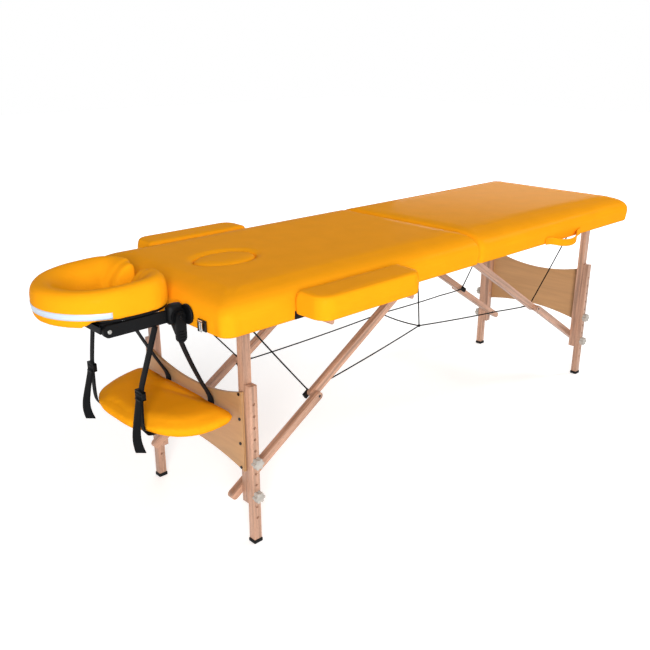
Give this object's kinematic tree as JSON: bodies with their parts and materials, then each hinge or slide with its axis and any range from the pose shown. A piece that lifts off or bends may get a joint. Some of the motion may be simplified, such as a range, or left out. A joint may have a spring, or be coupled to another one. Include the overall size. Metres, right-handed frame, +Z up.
{
  "type": "folding massage table",
  "caption": "Folding massage table with a padded two-part top, wooden legs with drilled extensions, cable bracing, tilting face cradle, arm sling and side armrests.",
  "frame": {"origin": "on the floor, under the middle of the whole object's box", "axes": "+X along the table towards the foot end, +Z up; the carry handle's side is at -Y"},
  "size_m": [2.1396, 0.8246, 0.7346],
  "materials": {
    "vinyl": "satin vinyl with a fine grain",
    "foam": "open foam",
    "plywood": "lacquered plywood",
    "beech": "lacquered beech",
    "grey_plastic": "moulded",
    "black_plastic": "moulded",
    "rubber": "moulded",
    "webbing": "woven",
    "coated_cable": "coated",
    "chrome": "plated",
    "steel": "zinc plated"
  },
  "bodies": {
    "head_section": {"head_rails": "beech", "head_deck": "plywood", "head_foam": "foam", "head_cover": "vinyl", "head_pivot_brackets": "steel", "head_hinge_leaves": "steel", "socket_bushes": "steel", "latch_bases": "chrome", "head_cables": "coated_cable"},
    "foot_section": {"foot_rails": "beech", "foot_deck": "plywood", "foot_foam": "foam", "foot_cover": "vinyl", "foot_pivot_brackets": "steel", "foot_hinge_leaves": "steel", "foot_handle": "vinyl", "latch_catches": "chrome", "foot_cables": "coated_cable"},
    "head_leg_frame": {"head_leg_posts": "beech", "head_near_extension": "beech", "head_far_extension": "beech", "head_rubber_feet": "rubber", "head_end_panel": "plywood", "head_panel_screws": "steel"},
    "head_lower_braces": {"head_lower_braces": "beech", "head_knee_bolts": "steel"},
    "head_upper_braces": {"head_upper_braces": "beech"},
    "head_near_upper_knob": {"head_near_upper_knob": "grey_plastic"},
    "head_near_lower_knob": {"head_near_lower_knob": "grey_plastic"},
    "head_far_upper_knob": {"head_far_upper_knob": "grey_plastic"},
    "head_far_lower_knob": {"head_far_lower_knob": "grey_plastic"},
    "foot_leg_frame": {"foot_leg_posts": "beech", "foot_near_extension": "beech", "foot_far_extension": "beech", "foot_rubber_feet": "rubber", "foot_end_panel": "plywood", "foot_panel_screws": "steel"},
    "foot_lower_braces": {"foot_lower_braces": "beech", "foot_knee_bolts": "steel"},
    "foot_upper_braces": {"foot_upper_braces": "beech"},
    "foot_near_upper_knob": {"foot_near_upper_knob": "grey_plastic"},
    "foot_near_lower_knob": {"foot_near_lower_knob": "grey_plastic"},
    "foot_far_upper_knob": {"foot_far_upper_knob": "grey_plastic"},
    "foot_far_lower_knob": {"foot_far_lower_knob": "grey_plastic"},
    "face_cradle": {"cradle_frame": "black_plastic", "sling_straps": "webbing", "strap_buckles": "black_plastic", "sling_pad": "vinyl"},
    "cradle_top": {"cradle_platform": "black_plastic", "face_cushion": "vinyl"},
    "cam_lever": {"cam_lever": "black_plastic"},
    "face_plug": {"face_plug": "vinyl"},
    "near_armrest": {"near_armrest_pad": "vinyl", "near_armrest_base": "beech"},
    "near_latch_hasp": {"near_latch_hasp": "chrome"},
    "far_armrest": {"far_armrest_pad": "vinyl", "far_armrest_base": "beech"},
    "far_latch_hasp": {"far_latch_hasp": "chrome"}
  },
  "joints": [
    {"name": "table_fold", "type": "hinge", "parent": "head_section", "child": "foot_section", "pos_m": [0.1332, 0, 0.606], "axis": [0, 1, 0], "range_deg": [0, 100], "deforming": ["head_cables", "foot_cables"]},
    {"name": "head_legs_fold", "type": "hinge", "parent": "head_section", "child": "head_leg_frame", "pos_m": [-0.6728, 0, 0.632], "axis": [0, -1, 0], "range_deg": [0, 90], "deforming": ["head_cables"]},
    {"name": "head_lower_brace_fold", "type": "hinge", "parent": "head_leg_frame", "child": "head_lower_braces", "pos_m": [-0.6728, 0, 0.155], "axis": [0, -1, 0], "range_deg": [0, 58]},
    {"name": "head_upper_brace_fold", "type": "hinge", "parent": "head_section", "child": "head_upper_braces", "pos_m": [0.0832, 0, 0.632], "axis": [0, 1, 0], "range_deg": [0, 33]},
    {"name": "head_near_upper_knob_turn", "type": "hinge", "parent": "head_leg_frame", "child": "head_near_upper_knob", "pos_m": [-0.6728, -0.246, 0.235], "axis": [0, -1, 0], "continuous": true},
    {"name": "head_near_lower_knob_turn", "type": "hinge", "parent": "head_leg_frame", "child": "head_near_lower_knob", "pos_m": [-0.6728, -0.246, 0.139], "axis": [0, -1, 0], "continuous": true},
    {"name": "head_far_upper_knob_turn", "type": "hinge", "parent": "head_leg_frame", "child": "head_far_upper_knob", "pos_m": [-0.6728, 0.246, 0.235], "axis": [0, 1, 0], "continuous": true},
    {"name": "head_far_lower_knob_turn", "type": "hinge", "parent": "head_leg_frame", "child": "head_far_lower_knob", "pos_m": [-0.6728, 0.246, 0.139], "axis": [0, 1, 0], "continuous": true},
    {"name": "foot_legs_fold", "type": "hinge", "parent": "foot_section", "child": "foot_leg_frame", "pos_m": [0.9392, 0, 0.632], "axis": [0, 1, 0], "range_deg": [0, 90], "deforming": ["foot_cables"]},
    {"name": "foot_lower_brace_fold", "type": "hinge", "parent": "foot_leg_frame", "child": "foot_lower_braces", "pos_m": [0.9392, 0, 0.155], "axis": [0, 1, 0], "range_deg": [0, 58]},
    {"name": "foot_upper_brace_fold", "type": "hinge", "parent": "foot_section", "child": "foot_upper_braces", "pos_m": [0.1832, 0, 0.632], "axis": [0, -1, 0], "range_deg": [0, 33]},
    {"name": "foot_near_upper_knob_turn", "type": "hinge", "parent": "foot_leg_frame", "child": "foot_near_upper_knob", "pos_m": [0.9392, -0.246, 0.235], "axis": [0, -1, 0], "continuous": true},
    {"name": "foot_near_lower_knob_turn", "type": "hinge", "parent": "foot_leg_frame", "child": "foot_near_lower_knob", "pos_m": [0.9392, -0.246, 0.139], "axis": [0, -1, 0], "continuous": true},
    {"name": "foot_far_upper_knob_turn", "type": "hinge", "parent": "foot_leg_frame", "child": "foot_far_upper_knob", "pos_m": [0.9392, 0.246, 0.235], "axis": [0, 1, 0], "continuous": true},
    {"name": "foot_far_lower_knob_turn", "type": "hinge", "parent": "foot_leg_frame", "child": "foot_far_lower_knob", "pos_m": [0.9392, 0.246, 0.139], "axis": [0, 1, 0], "continuous": true},
    {"name": "cradle_pull_out", "type": "slide", "parent": "head_section", "child": "face_cradle", "axis": [-1, 0, 0], "range_m": [0, 0.11]},
    {"name": "cradle_tilt", "type": "hinge", "parent": "face_cradle", "child": "cradle_top", "pos_m": [-0.9848, 0, 0.638], "axis": [0, -1, 0], "range_deg": [0, 40]},
    {"name": "cam_lever_swing", "type": "hinge", "parent": "face_cradle", "child": "cam_lever", "pos_m": [-0.8188, -0.1678, 0.638], "axis": [0, 1, 0], "range_deg": [0, 100]},
    {"name": "face_plug_lift", "type": "slide", "parent": "head_section", "child": "face_plug", "axis": [0, 0, 1], "range_m": [0, 0.06]},
    {"name": "near_armrest_pull_out", "type": "slide", "parent": "head_section", "child": "near_armrest", "axis": [0, -1, 0], "range_m": [0, 0.08]},
    {"name": "near_latch_swing", "type": "hinge", "parent": "head_section", "child": "near_latch_hasp", "pos_m": [-0.8034, -0.225, 0.6368], "axis": [0, 1, 0], "range_deg": [0, 120]},
    {"name": "far_armrest_pull_out", "type": "slide", "parent": "head_section", "child": "far_armrest", "axis": [0, 1, 0], "range_m": [0, 0.08]},
    {"name": "far_latch_swing", "type": "hinge", "parent": "head_section", "child": "far_latch_hasp", "pos_m": [-0.8034, 0.225, 0.6368], "axis": [0, 1, 0], "range_deg": [0, 120]}
  ],
  "couplings": [
    {"joint": "head_lower_brace_fold", "follows": "head_legs_fold", "ratio": 0.64167},
    {"joint": "head_upper_brace_fold", "follows": "head_legs_fold", "ratio": 0.35833},
    {"joint": "foot_lower_brace_fold", "follows": "foot_legs_fold", "ratio": 0.64167},
    {"joint": "foot_upper_brace_fold", "follows": "foot_legs_fold", "ratio": 0.35833}
  ]
}
